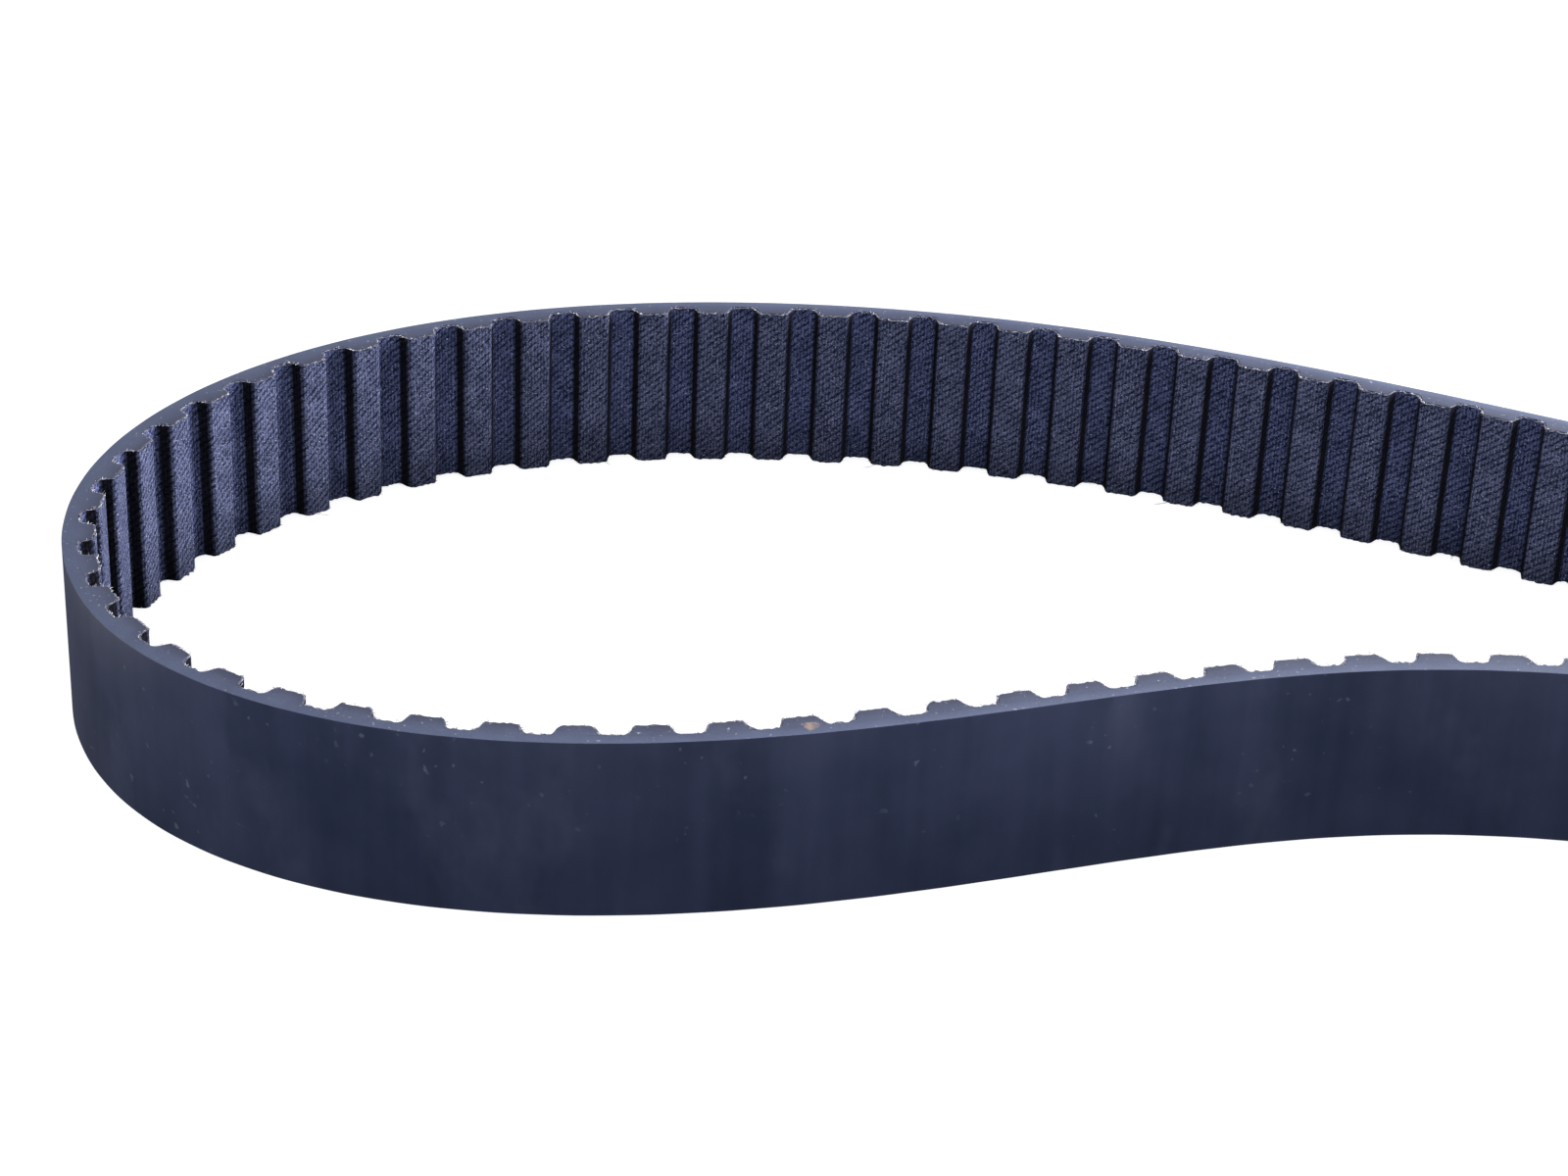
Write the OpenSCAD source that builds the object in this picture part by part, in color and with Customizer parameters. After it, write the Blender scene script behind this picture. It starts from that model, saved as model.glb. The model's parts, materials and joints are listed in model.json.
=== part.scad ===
// Toothed timing belt, moulded as an endless loop and lying on its edge in a slack dog-bone lay.
// +Z is across the belt, the origin is the centre of the loop on the lower cut edge.

/* [Belt] */
// Number of teeth round the whole loop
teeth = 120; // [96:2:144]
// Distance from one tooth to the next, along the cords
pitch = 9.525; // [7.9:0.005:11.5]
// Width between the two cut edges
width = 25.4; // [12:0.1:50]
// Thickness over a tooth, from the smooth back to the tooth's tip
thickness = 4.5; // [3.9:0.05:6]

/* [Tooth] */
// Height of a tooth above the land between two teeth
tooth_height = 2.3; // [1.8:0.05:2.8]
// Width of a tooth where its flanks meet the land
tooth_root = 6.1; // [5:0.05:6.8]
// Slope of each flank, in degrees from square to the belt
flank = 20; // [10:1:25]
// Radius where a flank meets the land
root_radius = 0.9; // [0.4:0.05:1.1]
// Radius where a flank meets the tip
tip_radius = 0.8; // [0.5:0.05:1.1]

/* [Layers] */
// Thickness of the woven nylon facing over the teeth
fabric = 0.3; // [0.15:0.05:0.45]
// Thickness of the layer of cords that carries the pull
cord_layer = 0.8; // [0.5:0.05:1]

/* [Lay] */
// Direction of the belt at its waist, in degrees
waist_heading = 164; // [150:1:180]
// Slit between two stretches, which lets them swing where the real belt bends
bend_gap = 0.4; // [0.3:0.05:0.8]

/* [Hidden] */

// The lay of half the loop, from the back waist round one lobe to the front waist, in 60 steps of
// one pitch on a belt of 120 teeth: how far the belt turns in a step, in degrees, every sixth step.
// The waist bends the other way. What is missing to half a turn is spread over all the steps, so
// the loop closes. The second half is the first one turned half round.
lay_steps = 60;
lay = [[0, -3], [6, 0.5], [12, 2.5], [18, 3.5], [24, 6], [30, 8.5],
       [36, 10.5], [42, 5], [48, 1], [54, -5], [60, -3]];
half = floor(teeth / 2);
raw_bends = [for (i = [0 : half - 1]) lookup((i + 0.5) * lay_steps / half, lay) * lay_steps / half];
raw_turn = raw_bends * [for (i = [0 : half - 1]) 1];
bends = [for (b = raw_bends) b + (180 - raw_turn) / half];
headings = [for (i = 0, h = waist_heading; i <= half; h = h + (i < half ? bends[i] : 0), i = i + 1) h];

// Straight step from the start of a pitch to a point a length along it, on its arc
function bow(a) = abs(a) < 0.001 ? 1 : sin(a) * 180 / (PI * a);
function step(i, along) =
    let (a = bends[i] * along / pitch / 2)
    along * bow(a) * [cos(headings[i] + a), sin(headings[i] + a)];
steps = [for (i = 0, q = [0, 0]; i <= half; q = q + (i < half ? step(i, pitch) : [0, 0]), i = i + 1) q];
middle = steps[half] / 2;

// A point on the belt in plan: pitch number, length along that pitch, and height above the cords'
// centre line, towards the inside of the loop
function on_half(i, along, up) =
    let (d = headings[i] + bends[i] * along / pitch)
    steps[i] + step(i, along) - middle + up * [-sin(d), cos(d)];
function at(i, along, up) =
    let (k = i % (2 * half))
    k < half ? on_half(k, along, up) : -on_half(k - half, along, up);

// Heights above the cords' centre line
cord_top = cord_layer / 2;
land = cord_top + fabric;
back_face = -(thickness - tooth_height - land);

// The tooth's outline: two corners on each side, rounded, at a depth below the facing's surface
corner_steps = 2;
function unit(v) = v / norm(v);
function rounded(a, b, c, r) =
    let (u = unit(a - b), v = unit(c - b), open = acos(u * v) / 2,
         hub = b + unit(u + v) * r / sin(open),
         p = b + u * r / tan(open) - hub, q = b + v * r / tan(open) - hub)
    [for (k = [0 : corner_steps]) let (w = k / corner_steps) hub + r * unit(p * (1 - w) + q * w)];
function mirrored(points) =
    [for (k = [len(points) - 1 : -1 : 0]) [pitch - points[k][0], points[k][1]]];
function tooth_outline(depth) =
    let (foot = [pitch / 2 - tooth_root / 2 + depth * (1 - sin(flank)) / cos(flank), land - depth],
         tip = [pitch / 2 - tooth_root / 2 + depth / cos(flank) + (tooth_height - depth) * tan(flank),
                land + tooth_height - depth],
         side = concat(rounded([0, foot[1]], foot, tip, root_radius + depth),
                       rounded(foot, tip, [pitch / 2, tip[1]], tip_radius - depth)))
    concat(side, mirrored(side));
tooth_start = tooth_outline(0)[0][0];

// Long edges of a layer in plan, over the pitches from first to last
function rail(first, last, up) = concat(
    [at(first, bend_gap / 2, up)],
    [for (i = [first : last - 1]) each
        [if (i > first) at(i, 0, up), at(i, tooth_start, up), at(i, pitch / 2, up),
         at(i, pitch - tooth_start, up)]],
    [at(last - 1, pitch - bend_gap / 2, up)]);
function toothed_rail(first, last, depth) = concat(
    [at(first, bend_gap / 2, land - depth)],
    [for (i = [first : last - 1]) each concat(
        i > first ? [at(i, 0, land - depth)] : [],
        [for (p = tooth_outline(depth)) at(i, p[0], p[1])])],
    [at(last - 1, pitch - bend_gap / 2, land - depth)]);
function reversed(points) = [for (k = [len(points) - 1 : -1 : 0]) points[k]];

// The eight stretches, each from one groove to another: first and last pitch, counted from the
// middle of the back waist. The fractions are of half the loop.
cuts = [for (share = [7, 22, 38, 53]) round(share * half / lay_steps)];
function stretch(k, turns = 0) = [cuts[k] + turns * half, cuts[k + 1] + turns * half];
back_waist = [cuts[3] + half, cuts[0] + 2 * half];
left_back = stretch(0);
left_bow = stretch(1);
left_front = stretch(2);
front_waist = [cuts[3], cuts[0] + half];
right_front = stretch(0, 1);
right_bow = stretch(1, 1);
right_back = stretch(2, 1);

// Smooth rubber back, from the outer face down to the cords
module backing(s) {
    color("#2c3245")
        linear_extrude(width)
            polygon(concat(rail(s[0], s[1], back_face), reversed(rail(s[0], s[1], -cord_top))));
}

// Layer of twisted cords, wound side by side across the whole width
module cords(s) {
    color("#b9b096")
        linear_extrude(width)
            polygon(concat(rail(s[0], s[1], -cord_top), reversed(rail(s[0], s[1], cord_top))));
}

// Rubber cores of the teeth, each one bonded to the cords under it
module tooth_cores(s) {
    color("#3a3f50")
        for (i = [s[0] : s[1] - 1])
            linear_extrude(width)
                polygon(concat([for (p = tooth_outline(fabric)) at(i, p[0], p[1])],
                               [at(i, pitch / 2, cord_top)]));
}

// Woven nylon facing, one skin over the teeth and the lands between them
module facing(s) {
    color("#20212f")
        linear_extrude(width)
            polygon(concat(toothed_rail(s[0], s[1], fabric), reversed(toothed_rail(s[0], s[1], 0))));
}

backing(back_waist);  // backing_back_waist
backing(left_back);  // backing_left_back
backing(left_bow);  // backing_left_bow
backing(left_front);  // backing_left_front
backing(front_waist);  // backing_front_waist
backing(right_front);  // backing_right_front
backing(right_bow);  // backing_right_bow
backing(right_back);  // backing_right_back
cords(back_waist);  // cords_back_waist
cords(left_back);  // cords_left_back
cords(left_bow);  // cords_left_bow
cords(left_front);  // cords_left_front
cords(front_waist);  // cords_front_waist
cords(right_front);  // cords_right_front
cords(right_bow);  // cords_right_bow
cords(right_back);  // cords_right_back
tooth_cores(back_waist);  // teeth_back_waist
tooth_cores(left_back);  // teeth_left_back
tooth_cores(left_bow);  // teeth_left_bow
tooth_cores(left_front);  // teeth_left_front
tooth_cores(front_waist);  // teeth_front_waist
tooth_cores(right_front);  // teeth_right_front
tooth_cores(right_bow);  // teeth_right_bow
tooth_cores(right_back);  // teeth_right_back
facing(back_waist);  // facing_back_waist
facing(left_back);  // facing_left_back
facing(left_bow);  // facing_left_bow
facing(left_front);  // facing_left_front
facing(front_waist);  // facing_front_waist
facing(right_front);  // facing_right_front
facing(right_bow);  // facing_right_bow
facing(right_back);  // facing_right_back
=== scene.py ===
import json
import math
import random
from collections import namedtuple

import bmesh
import bpy
from mathutils import Matrix, Vector, noise


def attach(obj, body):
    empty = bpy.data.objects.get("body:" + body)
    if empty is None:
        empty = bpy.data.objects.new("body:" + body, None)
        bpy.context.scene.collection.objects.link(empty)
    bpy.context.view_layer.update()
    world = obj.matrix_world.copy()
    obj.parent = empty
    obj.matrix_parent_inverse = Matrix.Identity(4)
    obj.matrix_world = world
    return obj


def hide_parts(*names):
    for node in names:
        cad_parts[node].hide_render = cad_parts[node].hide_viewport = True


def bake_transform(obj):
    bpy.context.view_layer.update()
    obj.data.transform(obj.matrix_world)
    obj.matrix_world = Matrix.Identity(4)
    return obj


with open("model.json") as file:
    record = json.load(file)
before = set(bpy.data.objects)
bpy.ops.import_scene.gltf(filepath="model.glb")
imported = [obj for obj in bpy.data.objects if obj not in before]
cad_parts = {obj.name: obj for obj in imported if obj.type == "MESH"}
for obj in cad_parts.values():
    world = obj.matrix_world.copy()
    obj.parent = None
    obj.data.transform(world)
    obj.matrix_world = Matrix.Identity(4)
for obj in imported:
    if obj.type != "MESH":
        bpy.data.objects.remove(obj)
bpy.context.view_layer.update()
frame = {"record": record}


# ---- The camera --------------------------------------------------------------------------------
# It stands in front of the left lobe, a forearm's length above the table, looks down at the belt
# and leans a little to one side.
CAMERA_AT = (-0.14419, -0.42671, 0.24723)
CAMERA_DOWN, CAMERA_LEAN, CAMERA_TURN = 28.295, 2.494, 0.277
camera = bpy.data.objects.new("camera", bpy.data.cameras.new("camera"))
camera.data.lens = 80.58
camera.data.sensor_width = 36
camera.data.clip_start = 0.01
camera.matrix_world = (
    Matrix.Translation(CAMERA_AT)
    @ Matrix.Rotation(math.radians(CAMERA_TURN), 4, "Z")
    @ Matrix.Rotation(math.radians(90 - CAMERA_DOWN), 4, "X")
    @ Matrix.Rotation(math.radians(CAMERA_LEAN), 4, "Z"))
bpy.context.collection.objects.link(camera)
bpy.context.scene.camera = camera
bpy.context.scene.view_settings.view_transform = "Standard"


# ---- The studio --------------------------------------------------------------------------------
# A white table and a white surround that dims below. Four wide soft lamps light the belt alone, so
# that the table stays even: one in front and above, one on the right, one low on the left, and one
# behind the right lobe, which rakes over the upper cut edge.
belt = bpy.data.collections.new("belt")
bpy.context.scene.collection.children.link(belt)
world = bpy.data.worlds.new("white_surround")
world.use_nodes = True
backdrop = world.node_tree.nodes["Background"]
backdrop.inputs["Color"].default_value = (0.95, 0.97, 1.0, 1)
direction = world.node_tree.nodes.new("ShaderNodeTexCoord").outputs["Generated"]
parts = world.node_tree.nodes.new("ShaderNodeSeparateXYZ")
dimming = world.node_tree.nodes.new("ShaderNodeMapRange")
for socket, value in (("From Min", -0.4), ("From Max", 0.3), ("To Min", 0.12), ("To Max", 0.5)):
    dimming.inputs[socket].default_value = value
world.node_tree.links.new(direction, parts.inputs[0])
world.node_tree.links.new(parts.outputs["Z"], dimming.inputs["Value"])
world.node_tree.links.new(dimming.outputs[0], backdrop.inputs["Strength"])
bpy.context.scene.world = world

table_top = bpy.data.meshes.new("table")
bm = bmesh.new()
bmesh.ops.create_grid(bm, x_segments=1, y_segments=1, size=6)
bm.to_mesh(table_top)
bm.free()
table = bpy.data.objects.new("table", table_top)
bpy.context.collection.objects.link(table)
table.visible_diffuse = False
table.visible_glossy = False
white_table = bpy.data.materials.new("white_table")
white_table.use_nodes = True
shader = white_table.node_tree.nodes["Principled BSDF"]
shader.inputs["Base Color"].default_value = (0.7, 0.7, 0.71, 1)
shader.inputs["Roughness"].default_value = 0.9
shader.inputs["Specular IOR Level"].default_value = 0
shader.inputs["Emission Color"].default_value = (1, 1, 1, 1)
shader.inputs["Emission Strength"].default_value = 0.85
table_top.materials.append(white_table)


def soft_lamp(name, aim_x, side, distance, size, strength):
    """A square lamp that points at a place along the belt from the given side. A white surface
    there that faces the lamp looks as bright as its strength."""
    aim = Vector((aim_x, 0, 0))
    lamp = bpy.data.objects.new(name, bpy.data.lights.new(name, "AREA"))
    lamp.data.shape = "SQUARE"
    lamp.data.size = size
    lamp.data.energy = strength * (math.pi * distance) ** 2
    lamp.location = aim + Vector(side).normalized() * distance
    lamp.rotation_euler = Vector(side).to_track_quat("Z", "Y").to_euler()
    lamp.light_linking.receiver_collection = belt
    lamp.visible_camera = False
    bpy.context.collection.objects.link(lamp)


LEFT_LOBE_X = -0.14
RIGHT_LOBE_X = 0.12
soft_lamp("front_lamp", LEFT_LOBE_X, (0.1, -0.8, 0.55), 1.3, 0.7, 1.25)
soft_lamp("right_lamp", LEFT_LOBE_X, (0.88, 0.24, 0.18), 1.6, 0.6, 4.0)
soft_lamp("left_lamp", LEFT_LOBE_X, (-1, 0.15, 0.12), 1.2, 0.7, 1.5)
soft_lamp("back_lamp", RIGHT_LOBE_X, (0.3, 0.5, 0.7), 0.4, 0.25, 3.4)


# ---- The lay of the belt -----------------------------------------------------------------------
# The belt's cord line in plan: 120 pitches, each a short arc. From the back waist it runs
# anticlockwise round the left lobe to the front waist, and the other half is the same, turned half
# round. The bends are degrees a pitch, at every sixth pitch.
TEETH = 120
HALF = TEETH // 2
PITCH = 0.009525
WIDTH = 0.0254
WAIST_HEADING = 164
BENDS = [-3, 0.5, 2.5, 3.5, 6, 8.5, 10.5, 5, 1, -5, -3]
BEND_EVERY = 6
ROUNDING = 1e-6


def lay_bends():
    """How far the belt turns in each pitch of one half, so that the loop closes."""
    raw = []
    for pitch in range(HALF):
        knot, part = divmod((pitch + 0.5) / BEND_EVERY, 1)
        raw.append(BENDS[int(knot)] * (1 - part) + BENDS[int(knot) + 1] * part)
    return [math.radians(b + (180 - sum(raw)) / HALF) for b in raw]


bends = lay_bends()
headings = [math.radians(WAIST_HEADING)]
corners = [Vector((0, 0))]


def arc(pitch, along):
    """The way from a pitch's start to a place along its arc."""
    half_turn = bends[pitch] * along / PITCH / 2
    length = along * math.sin(half_turn) / half_turn if half_turn else along
    heading = headings[pitch] + half_turn
    return Vector((math.cos(heading), math.sin(heading))) * length


for pitch in range(HALF):
    corners.append(corners[-1] + arc(pitch, PITCH))
    headings.append(headings[-1] + bends[pitch])
centre = corners[HALF] / 2


def in_plan(run, up):
    """Where a point of the straight belt lies: run along the cord line, up towards the inside."""
    pitch = math.floor(run / PITCH + ROUNDING)
    along = run - pitch * PITCH
    half, pitch = divmod(pitch % TEETH, HALF)
    heading = headings[pitch] + bends[pitch] * along / PITCH
    inward = Vector((-math.sin(heading), math.cos(heading)))
    place = corners[pitch] + arc(pitch, along) - centre + inward * up
    return -place if half else place


# Each layer is cut at the middles of the stretches, so that every piece spans one hinge. The first
# and the last piece meet at the open pivot, where no hinge is. Hinges and middles are counted in
# pitches from the back waist, and a span runs from its first pitch to its last.
STRETCHES = list(frame["record"]["behaviour"]["bodies"])
HINGES = [7, 22, 38, 53, 67, 82, 98, 113]
MIDDLES = [0, 14, 30, 45, 60, 74, 90, 105]
PIVOT_GAP = 0.0004
SHARP_EDGE = math.radians(35)
Span = namedtuple("Span", "name first last bodies hinge")
SPANS = [Span("back_waist_end", HINGES[-1] - TEETH, MIDDLES[0], STRETCHES[:1], None)]
for k in range(len(STRETCHES) - 1):
    pair = STRETCHES[k:k + 2]
    SPANS.append(Span("_to_".join(pair), MIDDLES[k], MIDDLES[k + 1], pair, HINGES[k]))
SPANS.append(Span("right_back_end", MIDDLES[-1], HINGES[-1], STRETCHES[-1:], None))


def lay_down(layer, span, bm, materials, shy=0):
    """Lays a straight piece of the belt round its span. A piece at the open pivot is tied to its one
    body; the others are tied to none. At the open pivot it stops short, by half the gap there and by
    what it is shy of that."""
    inward = bm.verts.layers.float.new("inward")
    low = (HINGES[-1] - TEETH) * PITCH + PIVOT_GAP / 2 + shy
    high = HINGES[-1] * PITCH - PIVOT_GAP / 2 - shy
    for v in bm.verts:
        v.co.x = min(max(v.co.x, low), high)
        v[inward] = v.co.y
        x, y = in_plan(v.co.x, v.co.y)
        v.co = (x, y, v.co.z)
    mesh = bpy.data.meshes.new(layer + "_" + span.name)
    bm.to_mesh(mesh)
    bm.free()
    mesh.set_sharp_from_angle(angle=SHARP_EDGE)
    piece = bpy.data.objects.new(mesh.name, mesh)
    belt.objects.link(piece)
    for material in materials:
        mesh.materials.append(material)
    if span.hinge is None:
        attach(piece, span.bodies[0])
    else:
        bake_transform(piece)
    return piece


# ---- Rubber back -------------------------------------------------------------------------------
# The belt's body is one ring of moulded rubber, ground smooth outside and cut from a wide sleeve,
# so its two edges are sawn and paler, with a brown stain on one. The cords run in it side by side.
# Made by drawing its section, with a tunnel for each cord, and pulling it along the belt.
THICKNESS = 0.0045
TOOTH_HEIGHT = 0.0023
FABRIC = 0.0003
CORD_LAYER = 0.0008
CORD_TOP = CORD_LAYER / 2
LAND = CORD_TOP + FABRIC
BACK_FACE = LAND + TOOTH_HEIGHT - THICKNESS
CORDS = 20
CORD_RADIUS = 0.00036
CORD_SIDES = 8
EDGE_ROUND = 0.00018
BACK_STEPS = 8
CUT_SLOPE = 0.9
TOOTH_PRINT = 0.000012
STAIN_RUN, STAIN_UP = 45.58 * PITCH, 0.0004
STAIN_REACH = 0.0021
STAIN_RAGGED = 0.0034


def new_material(name, roughness, colour=None, specular=0.5):
    material = bpy.data.materials.new(name)
    material.use_nodes = True
    shader = material.node_tree.nodes["Principled BSDF"]
    shader.inputs["Roughness"].default_value = roughness
    shader.inputs["Specular IOR Level"].default_value = specular
    if colour:
        shader.inputs["Base Color"].default_value = (*colour, 1)
    return material, material.node_tree, shader


def node(tree, kind, *links, **values):
    """A shader node. links are its inputs in order, a number, a socket or None; values are its
    settings."""
    made = tree.nodes.new(kind)
    for key, value in values.items():
        setattr(made, key, value)
    for index, link in enumerate(links):
        if link is None:
            continue
        if isinstance(link, bpy.types.NodeSocket):
            tree.links.new(link, made.inputs[index])
        else:
            made.inputs[index].default_value = link
    return made


def sums(tree, operation, a, b=None, c=None):
    return node(tree, "ShaderNodeMath", a, b, c, operation=operation).outputs[0]


def inward_share(tree, outer, inner):
    """How far in a place is, 0 at the outer height and 1 at the inner one."""
    inward = node(tree, "ShaderNodeAttribute", attribute_name="inward").outputs["Fac"]
    return node(tree, "ShaderNodeMapRange", inward, outer, inner).outputs[0]


def grain(tree, where, scale, detail=2.0, roughness=0.5):
    made = node(tree, "ShaderNodeTexNoise", where)
    made.inputs["Scale"].default_value = scale
    made.inputs["Detail"].default_value = detail
    made.inputs["Roughness"].default_value = roughness
    return made.outputs["Fac"]


def ramp(tree, value, *stops):
    """Colours or greys between the stops, each one (place, colour)."""
    made = node(tree, "ShaderNodeValToRGB", value)
    elements = made.color_ramp.elements
    while len(elements) < len(stops):
        elements.new(0.5)
    for element, (place, colour) in zip(elements, stops):
        element.position = place
        element.color = (*colour, 1) if isinstance(colour, tuple) else (colour,) * 3 + (1,)
    return made.outputs["Color"]


def blended(tree, share, a, b, mode="MIX"):
    made = node(tree, "ShaderNodeMix", data_type="RGBA", blend_type=mode)
    for socket, value in ((made.inputs[0], share), (made.inputs[6], a), (made.inputs[7], b)):
        if isinstance(value, bpy.types.NodeSocket):
            tree.links.new(value, socket)
        elif isinstance(value, tuple):
            socket.default_value = (*value, 1)
        else:
            socket.default_value = value
    return made.outputs[2]


def stretched(tree, scale, source="Object"):
    """Coordinates with a different scale each way, for streaks."""
    where = node(tree, "ShaderNodeTexCoord").outputs[source]
    return node(tree, "ShaderNodeMapping", where, None, None, scale).outputs[0]


def add_bump(tree, shader, height, depth, strength=1.0):
    bump = node(tree, "ShaderNodeBump", strength, depth)
    tree.links.new(height, bump.inputs["Height"])
    tree.links.new(bump.outputs[0], shader.inputs["Normal"])


def ground_rubber():
    material, tree, shader = new_material("ground_rubber", 0.5, specular=0.12)
    where = node(tree, "ShaderNodeTexCoord").outputs["Object"]
    smudges = grain(tree, where, 45, 5, 0.62)
    bands = grain(tree, stretched(tree, (230, 230, 12)), 1, 3, 0.55)
    shade = blended(tree, 0.4, smudges, bands)
    colour = ramp(tree, shade, (0.36, (0.0104, 0.0142, 0.0315)), (0.62, (0.0182, 0.0230, 0.0485)))
    haze = grain(tree, stretched(tree, (75, 75, 40)), 1, 4, 0.6)
    haze = ramp(tree, haze, (0.56, 0.0), (0.72, 0.35))
    colour = blended(tree, haze, colour, (0.036, 0.042, 0.072))
    dust = ramp(tree, grain(tree, where, 820, 1, 0.4), (0.715, 0.0), (0.77, 0.7))
    patches = ramp(tree, grain(tree, where, 60, 2), (0.46, 0.0), (0.6, 1.0))
    dusty = blended(tree, 1.0, dust, patches, "MULTIPLY")
    colour = blended(tree, dusty, colour, (0.05, 0.06, 0.085))
    tree.links.new(colour, shader.inputs["Base Color"])
    tree.links.new(ramp(tree, smudges, (0.3, 0.42), (0.7, 0.6)), shader.inputs["Roughness"])
    add_bump(tree, shader, grain(tree, where, 5200, 3, 0.7), 0.00003, 0.25)
    return material


def sawn_rubber():
    material, tree, shader = new_material("sawn_rubber", 0.62, specular=0.2)
    where = node(tree, "ShaderNodeTexCoord").outputs["Object"]
    cloudy = grain(tree, where, 160, 4, 0.6)
    fine = grain(tree, where, 2600, 3, 0.7)
    shade = blended(tree, 0.45, cloudy, fine)
    outer = ramp(tree, shade, (0.3, (0.036, 0.045, 0.080)), (0.7, (0.056, 0.068, 0.116)))
    inner = ramp(tree, shade, (0.3, (0.013, 0.015, 0.029)), (0.7, (0.030, 0.033, 0.057)))
    colour = blended(tree, inward_share(tree, BACK_FACE, LAND + TOOTH_HEIGHT), outer, inner)
    flecks = ramp(tree, grain(tree, where, 2100, 1, 0.3), (0.72, 0.0), (0.80, 0.45))
    colour = blended(tree, flecks, colour, (0.30, 0.30, 0.32))
    stain_at = (*in_plan(STAIN_RUN, STAIN_UP), WIDTH)
    away = node(tree, "ShaderNodeVectorMath", where, stain_at, operation="DISTANCE").outputs["Value"]
    away = sums(tree, "MULTIPLY_ADD", grain(tree, where, 800, 3, 0.7), STAIN_RAGGED, away)
    stain = node(tree, "ShaderNodeMapRange", away, STAIN_REACH, STAIN_REACH * 1.3, 0.75, 0).outputs[0]
    colour = blended(tree, stain, colour, (0.20, 0.145, 0.115))
    tree.links.new(colour, shader.inputs["Base Color"])
    add_bump(tree, shader, fine, 0.00006, 0.5)
    return material


rubber_face = ground_rubber()
rubber_cut = sawn_rubber()


def pull(bm, edges, step, times):
    """Extrudes a loop of edges along the belt, again and again."""
    for _ in range(times):
        made = bmesh.ops.extrude_edge_only(bm, edges=edges)["geom"]
        edges = [g for g in made if isinstance(g, bmesh.types.BMEdge)]
        ring = [g for g in made if isinstance(g, bmesh.types.BMVert)]
        bmesh.ops.translate(bm, verts=ring, vec=step)
        rim = set(ring)
        edges = [e for e in edges if e.verts[0] in rim and e.verts[1] in rim]
    return edges


def back_section(bm, run):
    """The rubber's section across the belt: a slab with its two outer corners eased, and a ring
    for each cord's tunnel."""
    easing = [(EDGE_ROUND, 0), (EDGE_ROUND * 0.3, EDGE_ROUND * 0.3), (0, EDGE_ROUND)]
    outline = [(CORD_TOP, 0)] + [(BACK_FACE + up, z) for up, z in easing]
    outline += [(up, WIDTH - z) for up, z in reversed(outline)]
    corner_verts = [bm.verts.new((run, up, z)) for up, z in outline]
    next_verts = corner_verts[1:] + corner_verts[:1]
    edges = [bm.edges.new(pair) for pair in zip(corner_verts, next_verts)]
    across = Matrix.Rotation(math.radians(90), 4, "Y")
    for cord in range(CORDS):
        at = Matrix.Translation((run, 0, (cord + 0.5) * WIDTH / CORDS))
        made = bmesh.ops.create_circle(
            bm, segments=CORD_SIDES, radius=CORD_RADIUS, matrix=at @ across)["verts"]
        edges += list({e for v in made for e in v.link_edges})
    return edges


for span in SPANS:
    bm = bmesh.new()
    start = back_section(bm, span.first * PITCH)
    end = pull(bm, start, (PITCH / BACK_STEPS, 0, 0), (span.last - span.first) * BACK_STEPS)
    for rim in (start, end):
        bmesh.ops.triangle_fill(bm, use_beauty=True, use_dissolve=False, edges=rim)
    bmesh.ops.recalc_face_normals(bm, faces=bm.faces)
    for v in bm.verts:
        if v.co.y < BACK_FACE + EDGE_ROUND / 2:
            v.co.y += TOOTH_PRINT * math.cos(2 * math.pi * v.co.x / PITCH)
    for face in bm.faces:
        face.smooth = True
        face.material_index = 1 if abs(face.normal.z) > CUT_SLOPE else 0
    piece = lay_down("backing", span, bm, [rubber_face, rubber_cut])
    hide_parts(*["backing_" + b for b in span.bodies])


# ---- Cords -------------------------------------------------------------------------------------
# Twenty twisted glass cords lie side by side in the rubber and carry the pull. Each is a round
# strand, a hair thinner than its tunnel and pulled along it; the twist is in its finish.
CORD_STEPS = 4
CORD_FIT = 0.97
CORD_SHY = 0.0004


def twisted_glass():
    material, tree, shader = new_material("twisted_glass", 0.6)
    strands = node(tree, "ShaderNodeTexWave", stretched(tree, (900, 900, 2600)))
    strands.bands_direction = "DIAGONAL"
    strands.inputs["Scale"].default_value = 1
    strands.inputs["Distortion"].default_value = 1.5
    colour = ramp(tree, strands.outputs["Fac"], (0.2, (0.32, 0.27, 0.17)), (0.9, (0.62, 0.56, 0.42)))
    tree.links.new(colour, shader.inputs["Base Color"])
    add_bump(tree, shader, strands.outputs["Fac"], 0.0001, 0.6)
    return material


cord_finish = twisted_glass()
for span in SPANS:
    bm = bmesh.new()
    rings = []
    for cord in range(CORDS):
        at = Matrix.Translation((span.first * PITCH, 0, (cord + 0.5) * WIDTH / CORDS))
        made = bmesh.ops.create_circle(
            bm, cap_ends=True, segments=CORD_SIDES, radius=CORD_RADIUS * CORD_FIT,
            matrix=at @ Matrix.Rotation(math.radians(90), 4, "Y"))["verts"]
        rings += list({e for v in made for e in v.link_edges})
    end = pull(bm, rings, (PITCH / CORD_STEPS, 0, 0), (span.last - span.first) * CORD_STEPS)
    bmesh.ops.holes_fill(bm, edges=end, sides=CORD_SIDES)
    bmesh.ops.recalc_face_normals(bm, faces=bm.faces)
    for face in bm.faces:
        face.smooth = True
    piece = lay_down("cords", span, bm, [cord_finish], shy=CORD_SHY)
    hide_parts(*["cords_" + b for b in span.bodies])


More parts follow.
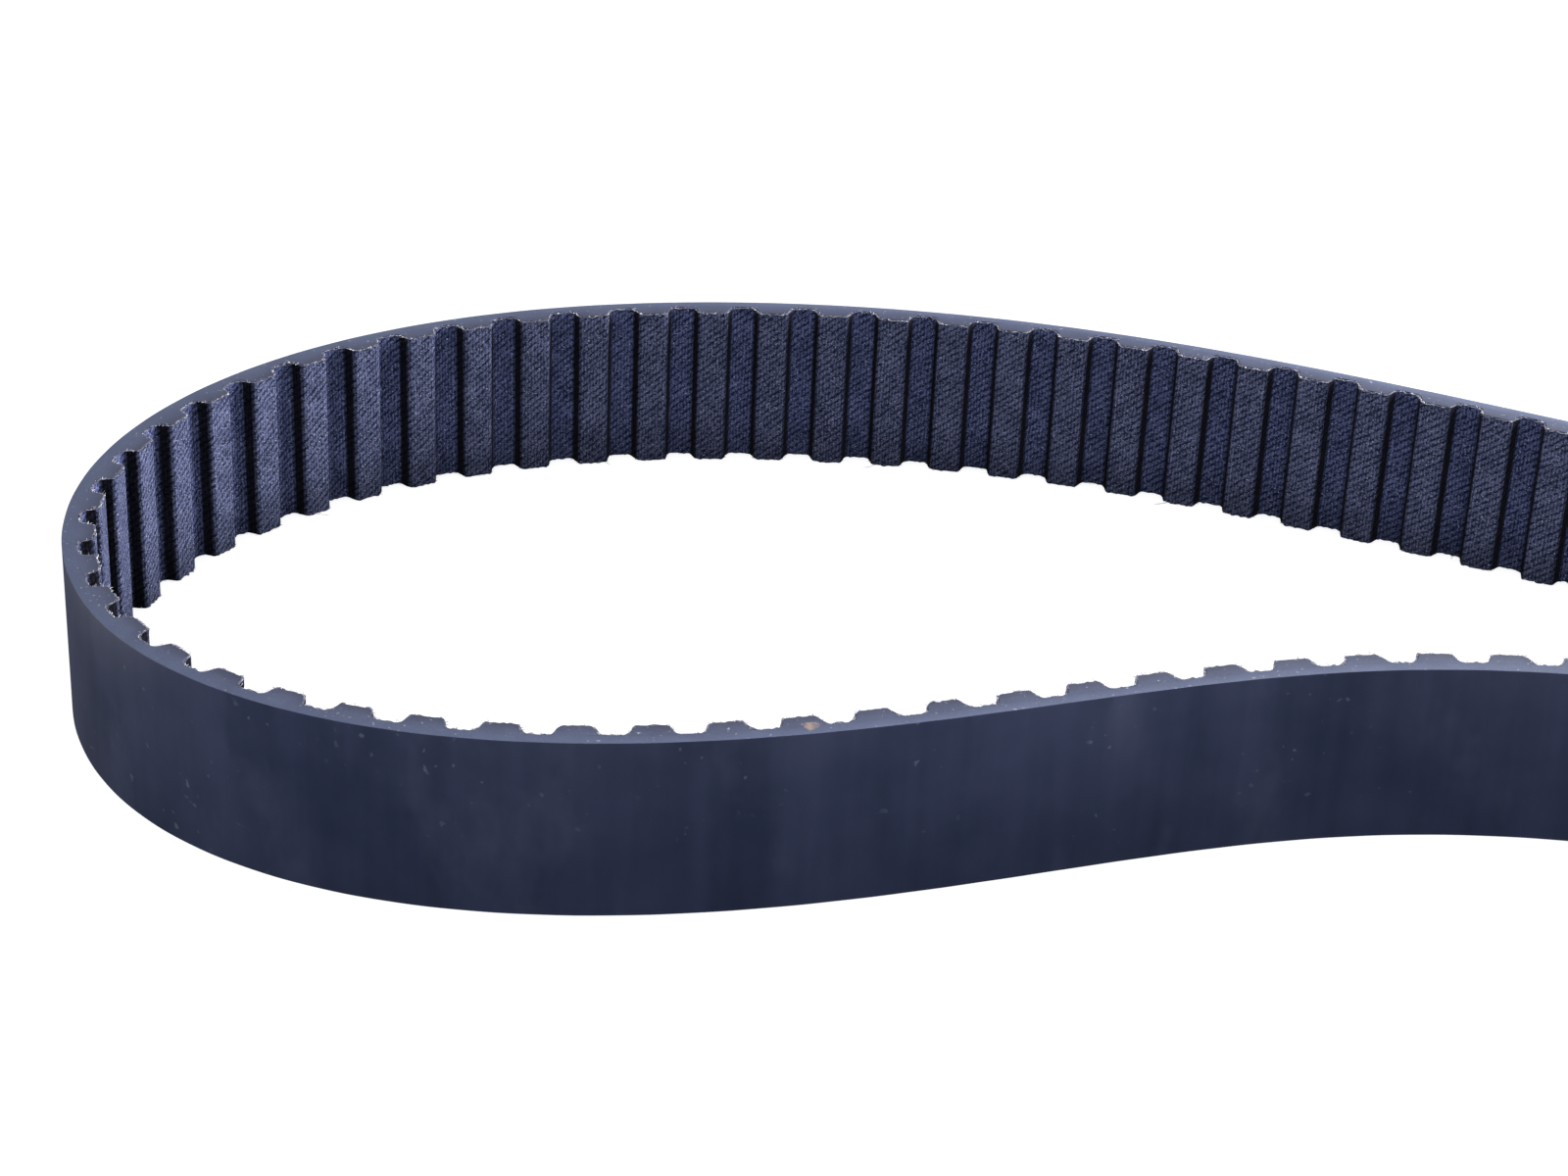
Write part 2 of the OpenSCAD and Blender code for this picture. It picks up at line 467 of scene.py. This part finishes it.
# ---- Teeth -------------------------------------------------------------------------------------
# Trapezoid rubber teeth moulded on to the cords, one a pitch, under the facing. Only their sawn
# ends show, as part of the belt's edge. Each is drawn as its outline, sunk a hair into the back so
# that no seam shows, and pulled across the belt.
TOOTH_ROOT = 0.0061
FLANK = math.radians(20)
ROOT_RADIUS = 0.0009
TIP_RADIUS = 0.0008
CORNER_STEPS = 4
ROOT_STEPS = 8
SINK = 0.00002


def rounded(a, b, c, radius):
    """Points on the arc that eases the corner b between a and c."""
    u, v = (a - b).normalized(), (c - b).normalized()
    open_half = u.angle(v) / 2
    hub = b + (u + v).normalized() * radius / math.sin(open_half)
    p = b + u * radius / math.tan(open_half) - hub
    q = b + v * radius / math.tan(open_half) - hub
    shares = [k / CORNER_STEPS for k in range(CORNER_STEPS + 1)]
    return [hub + radius * (p * (1 - w) + q * w).normalized() for w in shares]


def tooth_outline(depth):
    """One tooth from root to root, at a depth under the facing's surface."""
    left = PITCH / 2 - TOOTH_ROOT / 2
    foot = Vector((left + depth * (1 - math.sin(FLANK)) / math.cos(FLANK), LAND - depth))
    tip_run = left + depth / math.cos(FLANK) + (TOOTH_HEIGHT - depth) * math.tan(FLANK)
    tip = Vector((tip_run, LAND + TOOTH_HEIGHT - depth))
    side = rounded(Vector((0, foot.y)), foot, tip, ROOT_RADIUS + depth)
    side += rounded(foot, tip, Vector((PITCH / 2, tip.y)), TIP_RADIUS - depth)
    return side + [Vector((PITCH - p.x, p.y)) for p in reversed(side)]


core = tooth_outline(FABRIC)
sunk = Vector((0, SINK))
core += [core[-1].lerp(core[0], k / ROOT_STEPS) - sunk for k in range(ROOT_STEPS + 1)]
for span in SPANS:
    bm = bmesh.new()
    for tooth in range(span.first, span.last):
        section = [bm.verts.new((tooth * PITCH + p.x, p.y, 0)) for p in core]
        end = bm.faces.new(section)
        up = bmesh.ops.extrude_face_region(bm, geom=[end])["geom"]
        top = [g for g in up if isinstance(g, bmesh.types.BMVert)]
        bmesh.ops.translate(bm, verts=top, vec=(0, 0, WIDTH))
    bmesh.ops.recalc_face_normals(bm, faces=bm.faces)
    for face in bm.faces:
        face.smooth = True
    piece = lay_down("teeth", span, bm, [rubber_cut])
    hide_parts(*["teeth_" + b for b in span.bodies])


# ---- Facing ------------------------------------------------------------------------------------
# A thin nylon twill, wrapped over the teeth before moulding and cut with the belt, so both its
# edges are ragged. One pitch of its surface is drawn and pulled across the belt, repeated for
# each tooth, given its thickness and made uneven. Its rows of points lie closer near a cut.
ROWS_MM = [0, 0.15, 0.35, 0.7, 1.5, 3, 5.5, 8.5, 12.7]
ROW_HEIGHTS = [r / 1000 for r in ROWS_MM] + [WIDTH - r / 1000 for r in reversed(ROWS_MM[:-1])]
CLOTH_STEP = 0.0003
RAGGED_WITHIN = 0.0005
CLOTH_WAVE = 0.00004
WAVES_A_METRE = 400
RAGGED_Z = 0.00022
RAGGED_UP = 0.0004
RAGS_A_METRE = 1500
NOTCHES_A_METRE = 1300
RIM_SLOPE = 0.6
THREAD_ACROSS = 0.00051
THREAD_UP = 0.00038
THREAD_WANDER = 0.0005
PAINTED_SHADE_REACH = 0.008


def nylon_twill():
    """A two-over-one twill: each thread lies a step further along than the one below it. The threads
    wander and fray. Painted shade darkens the hollows of the weave, the flanks of the teeth and the
    lower edge, and pale specks are painted highlights."""
    material, tree, shader = new_material("nylon_twill", 0.8, specular=0.03)
    cloth = node(tree, "ShaderNodeUVMap", uv_map="cloth").outputs[0]
    drift = node(tree, "ShaderNodeTexNoise", cloth)
    drift.inputs["Scale"].default_value = 420
    wander = node(tree, "ShaderNodeVectorMath", drift.outputs["Color"], (0.5, 0.5, 0.5),
                  operation="SUBTRACT")
    wander = node(tree, "ShaderNodeVectorMath", wander.outputs[0], operation="SCALE")
    wander.inputs["Scale"].default_value = THREAD_WANDER
    cloth = node(tree, "ShaderNodeVectorMath", cloth, wander.outputs[0], operation="ADD").outputs[0]
    parts = node(tree, "ShaderNodeSeparateXYZ", cloth)
    across = sums(tree, "MULTIPLY", parts.outputs["X"], -1 / THREAD_ACROSS)
    up = sums(tree, "MULTIPLY", parts.outputs["Y"], 1 / THREAD_UP)
    phase = sums(tree, "MULTIPLY", sums(tree, "SUBTRACT", up, across), 2 * math.pi / 3)
    valley = sums(tree, "MULTIPLY_ADD", sums(tree, "COSINE", phase), -0.5, 0.5)
    broken = grain(tree, cloth, 1700, 1, 0.5)
    broken = node(tree, "ShaderNodeMapRange", broken, 0.36, 0.60).outputs[0]
    valley = sums(tree, "MULTIPLY", sums(tree, "POWER", valley, 2.5), broken)
    turn = sums(tree, "MULTIPLY", across, 2 * math.pi)
    thread = sums(tree, "MULTIPLY_ADD", sums(tree, "COSINE", turn), 0.5, 0.5)
    fuzz = grain(tree, cloth, 3400, 2, 0.75)
    height = sums(tree, "MULTIPLY_ADD", thread, 0.25, sums(tree, "MULTIPLY", valley, -0.7))
    height = sums(tree, "MULTIPLY_ADD", fuzz, 2.0, height)
    worn = grain(tree, cloth, 300, 3, 0.6)
    # The colour follows the wear and the weave's height, so the hollows between the threads carry
    # painted shade and the crowns are lighter.
    shade = sums(tree, "MULTIPLY_ADD", worn, 0.28, sums(tree, "MULTIPLY_ADD", height, 0.42, 0.11))
    colour = ramp(tree, shade, (0.37, (0.0015, 0.0025, 0.008)), (0.63, (0.0118, 0.0158, 0.0355)),
                  (0.88, (0.084, 0.092, 0.163)))
    # Painted highlights: sparse pale specks in the colour stand in for fibres catching the light.
    painted_glints = ramp(tree, grain(tree, cloth, 4600, 1, 0.5), (0.66, 0.0), (0.74, 0.9))
    colour = blended(tree, painted_glints, colour, (0.27, 0.275, 0.38))
    # Painted shade: the cloth on the flanks of the teeth is painted near black, and a little darker
    # and bluer on the lands between them, for the shade that falls there.
    painted_flank_shade = ramp(tree, inward_share(tree, LAND, LAND + TOOTH_HEIGHT),
                 (0.04, (0.86, 0.90, 1.04)), (0.25, 0.07), (0.72, 0.07), (0.97, 1.0))
    colour = blended(tree, 1.0, colour, painted_flank_shade, "MULTIPLY")
    # Painted shade: the cloth is painted darker towards its lower edge, down to half its colour at
    # the foot.
    painted_foot_shade = node(tree, "ShaderNodeMapRange", parts.outputs["Y"], 0, PAINTED_SHADE_REACH, 0.5, 1).outputs[0]
    colour = blended(tree, 1.0, colour, painted_foot_shade, "MULTIPLY")
    tree.links.new(colour, shader.inputs["Base Color"])
    shader.inputs["Sheen Weight"].default_value = 0.015
    shader.inputs["Sheen Roughness"].default_value = 0.4
    shader.inputs["Sheen Tint"].default_value = (0.55, 0.56, 0.85, 1)
    add_bump(tree, shader, height, 0.00010, 0.9)
    return material


def frayed_nylon():
    material, tree, shader = new_material("frayed_nylon", 0.8, specular=0.3)
    where = node(tree, "ShaderNodeTexCoord").outputs["Object"]
    colour = ramp(tree, grain(tree, where, 1900, 3, 0.7), (0.40, (0.035, 0.037, 0.060)),
                  (0.56, (0.085, 0.085, 0.12)), (0.66, (0.30, 0.285, 0.30)))
    tree.links.new(colour, shader.inputs["Base Color"])
    return material


twill = nylon_twill()
frayed = frayed_nylon()


def cloth_profile():
    """One pitch of the cloth's surface, with its flat stretches divided."""
    points = [Vector((0, LAND))] + tooth_outline(0) + [Vector((PITCH, LAND))]
    divided = points[:1]
    for a, b in zip(points, points[1:]):
        parts = max(1, round((b - a).length / CLOTH_STEP))
        divided += [a.lerp(b, (k + 1) / parts) for k in range(parts)]
    return divided


profile = cloth_profile()
lengths = [0]
for a, b in zip(profile, profile[1:]):
    lengths.append(lengths[-1] + (b - a).length)
CLOTH_PITCH = lengths[-1]


def cloth_sheet(first, last):
    """The facing of a few pitches as a bare sheet, with its length along the cloth as a map."""
    bm = bmesh.new()
    run_of = bm.verts.layers.float.new("along_cloth")
    line = [bm.verts.new((first * PITCH + p.x, p.y, 0)) for p in profile]
    for v, length in zip(line, lengths):
        v[run_of] = first * CLOTH_PITCH + length
    edges = [bm.edges.new(pair) for pair in zip(line, line[1:])]
    for low, high in zip(ROW_HEIGHTS, ROW_HEIGHTS[1:]):
        edges = pull(bm, edges, (0, 0, high - low), 1)
    one_pitch = bm.verts[:] + bm.edges[:] + bm.faces[:]
    for tooth in range(1, last - first):
        made = bmesh.ops.duplicate(bm, geom=one_pitch)["geom"]
        made = [g for g in made if isinstance(g, bmesh.types.BMVert)]
        bmesh.ops.translate(bm, verts=made, vec=(tooth * PITCH, 0, 0))
        for v in made:
            v[run_of] += tooth * CLOTH_PITCH
    bmesh.ops.remove_doubles(bm, verts=bm.verts, dist=PITCH / 1000)
    cloth = bm.loops.layers.uv.new("cloth")
    for face in bm.faces:
        for loop in face.loops:
            loop[cloth].uv = (loop.vert[run_of], loop.vert.co.z)
    return bm


def ring_place(run, z):
    """A place on a ring as long as the belt, so that noise read there has no seam."""
    angle = 2 * math.pi * run / (TEETH * PITCH)
    radius = TEETH * PITCH / (2 * math.pi)
    return Vector((radius * math.cos(angle), radius * math.sin(angle), z))


def roughen(bm):
    """Uneven cloth all over, and a ragged line where it was cut."""
    for v in bm.verts:
        lower = v.co.z < WIDTH / 2
        place = ring_place(v.co.x, v.co.z)
        cut = ring_place(v.co.x, 0 if lower else WIDTH)
        edge = max(0, 1 - min(v.co.z, WIDTH - v.co.z) / RAGGED_WITHIN)
        v.co.y += CLOTH_WAVE * noise.noise(place * WAVES_A_METRE)
        v.co.y += RAGGED_UP * edge * noise.noise(cut * RAGS_A_METRE)
        notch = noise.noise(cut * NOTCHES_A_METRE + Vector((5, 0, 0)))
        shortened = RAGGED_Z * edge * (0.5 + notch)
        v.co.z += shortened if lower else -shortened


for span in SPANS:
    bm = cloth_sheet(span.first, span.last)
    bmesh.ops.recalc_face_normals(bm, faces=bm.faces)
    if bm.faces[0].normal.y < 0:
        bmesh.ops.reverse_faces(bm, faces=bm.faces)
    bmesh.ops.solidify(bm, geom=bm.faces[:], thickness=FABRIC)
    bmesh.ops.recalc_face_normals(bm, faces=bm.faces)
    roughen(bm)
    for face in bm.faces:
        face.smooth = True
        face.material_index = 1 if abs(face.normal.z) > RIM_SLOPE else 0
    piece = lay_down("facing", span, bm, [twill, frayed])
    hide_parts(*["facing_" + b for b in span.bodies])


# ---- Loose fibres ------------------------------------------------------------------------------
# Where the twill was cut its pale ends stand out as a fuzz, and here and there a whole thread
# hangs loose at the lower edge. Each fibre is a thin tapering shoot with a bend in it.
TUFTS = 7
FIBRES_A_PITCH = 36
FIBRE_ACROSS = 0.00006
FIBRE_LENGTHS = (0.00015, 0.00062)
FIBRE_ROOT = 0.0001
FIBRE_STEPS = 3
LOOSE_THREAD_EVERY = 5
LOOSE_LENGTHS = (0.0015, 0.0035)
LOOSE_HEIGHT = 0.00015


def pale_fibre():
    material, tree, shader = new_material("pale_fibre", 0.7, specular=0.4)
    where = node(tree, "ShaderNodeTexCoord").outputs["Object"]
    colour = ramp(tree, grain(tree, where, 900, 1), (0.42, (0.04, 0.04, 0.06)),
                  (0.62, (0.55, 0.53, 0.55)))
    tree.links.new(colour, shader.inputs["Base Color"])
    return material


def shoot(bm, base, lean, length, across, bend):
    """A fibre that starts at base, leans one way and bends as it goes."""
    turn = lean.to_track_quat("Z", "Y").to_matrix().to_4x4()
    ring = bmesh.ops.create_circle(bm, cap_ends=True, segments=3, radius=across / 2,
                                   matrix=Matrix.Translation(base) @ turn)["verts"]
    edges = list({e for v in ring for e in v.link_edges})
    for _ in range(FIBRE_STEPS):
        made = bmesh.ops.extrude_edge_only(bm, edges=edges)["geom"]
        ring = [g for g in made if isinstance(g, bmesh.types.BMVert)]
        edges = [g for g in made if isinstance(g, bmesh.types.BMEdge)]
        edges = [e for e in edges if e.verts[0] in ring and e.verts[1] in ring]
        bmesh.ops.translate(bm, verts=ring, vec=lean * length / FIBRE_STEPS)
        base = base + lean * length / FIBRE_STEPS
        lean = (lean + bend).normalized()
    bmesh.ops.pointmerge(bm, verts=ring, merge_co=base)


def tuft():
    """The fuzz of one pitch, along both its cut edges."""
    bm = bmesh.new()
    for k in range(FIBRES_A_PITCH * 2):
        top = k % 2 == 0
        place = random.randrange(1, len(profile) - 1)
        outwards = profile[place + 1] - profile[place - 1]
        outwards = Vector((-outwards.y, outwards.x)).normalized()
        point = profile[place] - outwards * FABRIC * random.random()
        rise = random.uniform(0.1, 0.9) if top else random.uniform(-0.1, 0.25)
        lean = Vector((random.uniform(-0.7, 0.7), 0, rise))
        lean += Vector((outwards.x, outwards.y, 0)) * random.uniform(0, 0.9)
        bend = Vector([random.uniform(-0.45, 0.45) for _ in range(3)])
        bend.z = bend.z if top else abs(bend.z)
        base = Vector((point.x, point.y, WIDTH - FIBRE_ROOT if top else FIBRE_ROOT))
        shoot(bm, base, lean.normalized(), random.uniform(*FIBRE_LENGTHS), FIBRE_ACROSS, bend)
    return bm


def loose_thread():
    """A whole thread that came out of the cloth's lower edge and lies on the table."""
    bm = bmesh.new()
    point = profile[random.randrange(len(profile))]
    lean = Vector((random.uniform(-1, 1), 0.7, 0)).normalized()
    bend = Vector((random.uniform(-0.5, 0.5), 0, 0.05))
    base = Vector((point.x, point.y, LOOSE_HEIGHT))
    shoot(bm, base, lean, random.uniform(*LOOSE_LENGTHS), FIBRE_ACROSS * 1.4, bend)
    return bm


def as_mesh(bm):
    """The shape as a plain mesh, to be put down many times."""
    bmesh.ops.recalc_face_normals(bm, faces=bm.faces)
    mesh = bpy.data.meshes.new("fuzz")
    bm.to_mesh(mesh)
    bm.free()
    return mesh


random.seed(4)
fibre_finish = pale_fibre()
tufts = [as_mesh(tuft()) for _ in range(TUFTS)]
threads = [as_mesh(loose_thread()) for _ in range(TUFTS)]
for span in SPANS:
    bm = bmesh.new()
    for pitch in range(span.first, span.last):
        fuzz = [random.choice(tufts)]
        if pitch % LOOSE_THREAD_EVERY == 0:
            fuzz.append(random.choice(threads))
        for shape in fuzz:
            shape = shape.copy()
            shape.transform(Matrix.Translation((pitch * PITCH, 0, 0)))
            bm.from_mesh(shape)
            bpy.data.meshes.remove(shape)
    piece = lay_down("fibres", span, bm, [fibre_finish])
